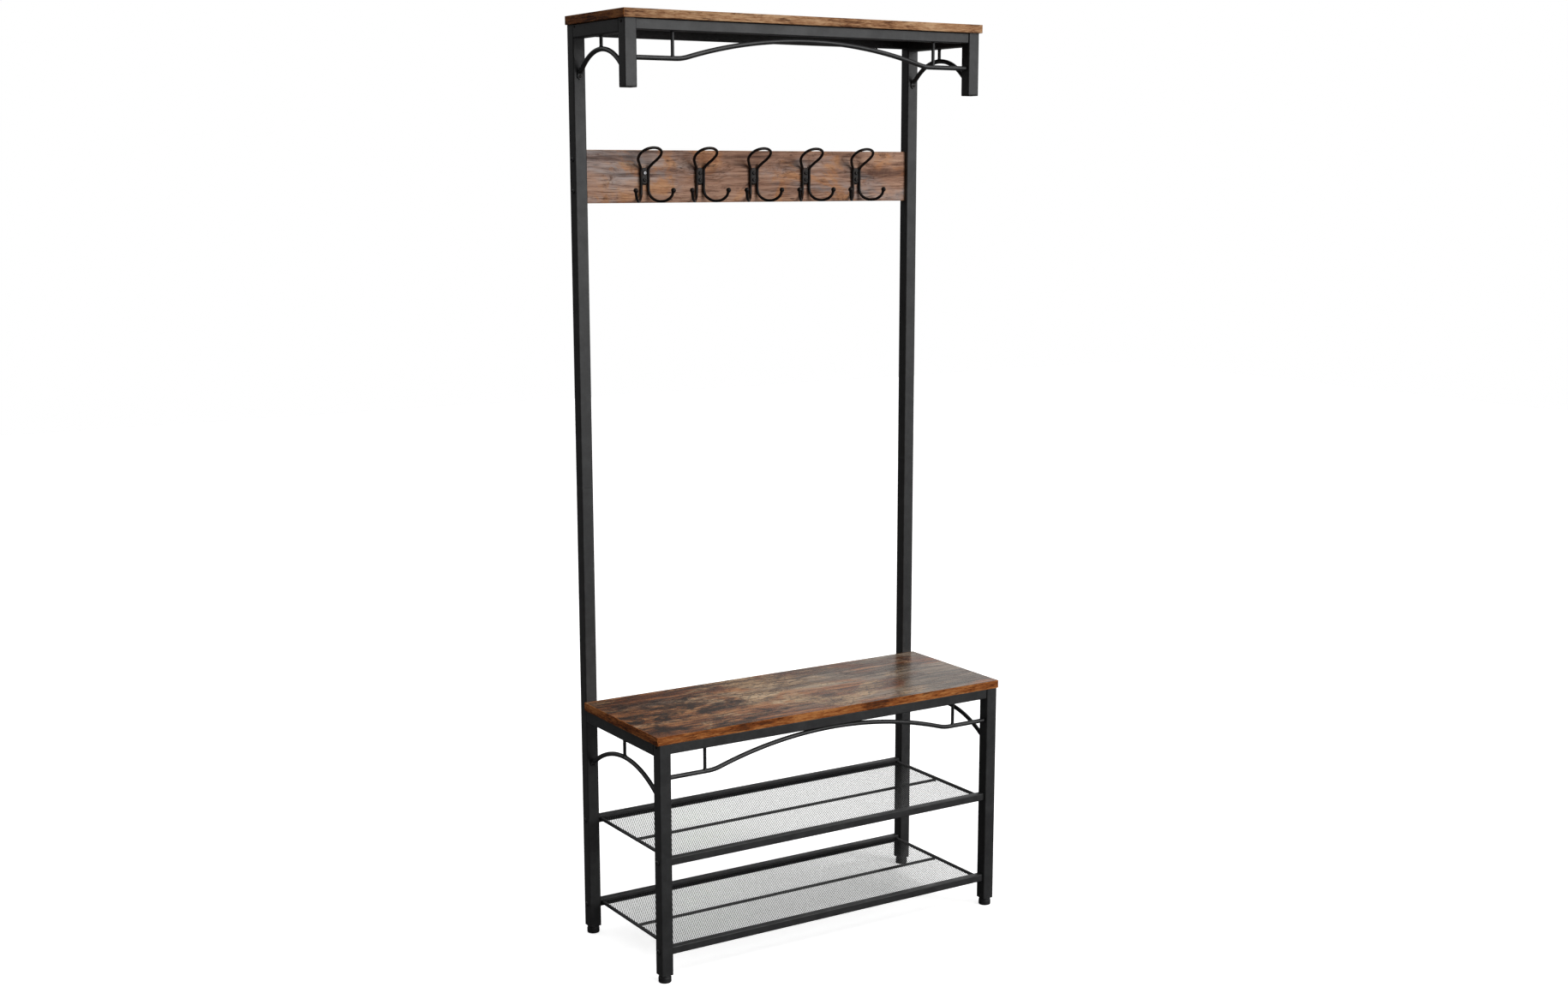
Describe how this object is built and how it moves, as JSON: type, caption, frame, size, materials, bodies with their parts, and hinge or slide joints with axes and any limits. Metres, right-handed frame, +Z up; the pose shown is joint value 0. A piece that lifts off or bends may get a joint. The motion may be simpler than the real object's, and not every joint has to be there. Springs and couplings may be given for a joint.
{
  "type": "hall tree",
  "caption": "Hall tree with a shoe bench, mesh shelves, a hook board with coat hooks and a top shelf on a square-tube steel frame.",
  "frame": {"origin": "on the floor, under the centre of the object's bounding box", "axes": "+X to the right as seen from the front, +Y to the back (the hook board's side), +Z up"},
  "size_m": [0.8, 0.325, 1.8],
  "materials": {
    "black_steel": "satin black powder coat",
    "rustic_board": "rustic brown wood-grain laminate with edge banding, semi-gloss",
    "hook_steel": "glossy black-bronze paint",
    "mesh_steel": "black painted expanded metal",
    "zinc_steel": "zinc plated",
    "black_plastic": "moulded, fine texture"
  },
  "bodies": {
    "hall_tree_frame": {"lower_upright_left": "black_steel", "upper_upright_left": "black_steel", "front_leg_left": "black_steel", "top_post_left": "black_steel", "top_side_rail_left": "black_steel", "bench_side_rail_left": "black_steel", "top_arch_left": "black_steel", "bench_arch_left": "black_steel", "upright_sleeve_left": "zinc_steel", "post_cap_left": "black_plastic", "lower_upright_right": "black_steel", "upper_upright_right": "black_steel", "front_leg_right": "black_steel", "top_post_right": "black_steel", "top_side_rail_right": "black_steel", "bench_side_rail_right": "black_steel", "top_arch_right": "black_steel", "bench_arch_right": "black_steel", "upright_sleeve_right": "zinc_steel", "post_cap_right": "black_plastic", "top_front_rail": "black_steel", "top_rear_rail": "black_steel", "bench_front_rail": "black_steel", "bench_rear_rail": "black_steel", "top_wave_rod": "black_steel", "bench_wave_rod": "black_steel", "upper_shelf_frame": "black_steel", "lower_shelf_frame": "black_steel", "upper_shelf_mesh": "mesh_steel", "lower_shelf_mesh": "mesh_steel", "top_board": "rustic_board", "bench_board": "rustic_board", "hook_board": "rustic_board", "hook_1": "hook_steel", "hook_screw_1": "zinc_steel", "hook_2": "hook_steel", "hook_screw_2": "zinc_steel", "hook_3": "hook_steel", "hook_screw_3": "zinc_steel", "hook_4": "hook_steel", "hook_screw_4": "zinc_steel", "hook_5": "hook_steel", "hook_screw_5": "zinc_steel", "foot_socket_front_left": "black_plastic", "upper_shelf_bolt_front_left": "black_steel", "lower_shelf_bolt_front_left": "black_steel", "foot_socket_front_right": "black_plastic", "upper_shelf_bolt_front_right": "black_steel", "lower_shelf_bolt_front_right": "black_steel", "foot_socket_rear_left": "black_plastic", "upper_shelf_bolt_rear_left": "black_steel", "lower_shelf_bolt_rear_left": "black_steel", "foot_socket_rear_right": "black_plastic", "upper_shelf_bolt_rear_right": "black_steel", "lower_shelf_bolt_rear_right": "black_steel"},
    "foot_front_left": {"levelling_foot_front_left": "black_plastic"},
    "foot_front_right": {"levelling_foot_front_right": "black_plastic"},
    "foot_rear_left": {"levelling_foot_rear_left": "black_plastic"},
    "foot_rear_right": {"levelling_foot_rear_right": "black_plastic"}
  },
  "joints": [
    {"name": "foot_front_left_screw", "type": "slide", "parent": "hall_tree_frame", "child": "foot_front_left", "axis": [0, 0, -1], "range_m": [0, 0.01]},
    {"name": "foot_front_right_screw", "type": "slide", "parent": "hall_tree_frame", "child": "foot_front_right", "axis": [0, 0, -1], "range_m": [0, 0.01]},
    {"name": "foot_rear_left_screw", "type": "slide", "parent": "hall_tree_frame", "child": "foot_rear_left", "axis": [0, 0, -1], "range_m": [0, 0.01]},
    {"name": "foot_rear_right_screw", "type": "slide", "parent": "hall_tree_frame", "child": "foot_rear_right", "axis": [0, 0, -1], "range_m": [0, 0.01]}
  ]
}
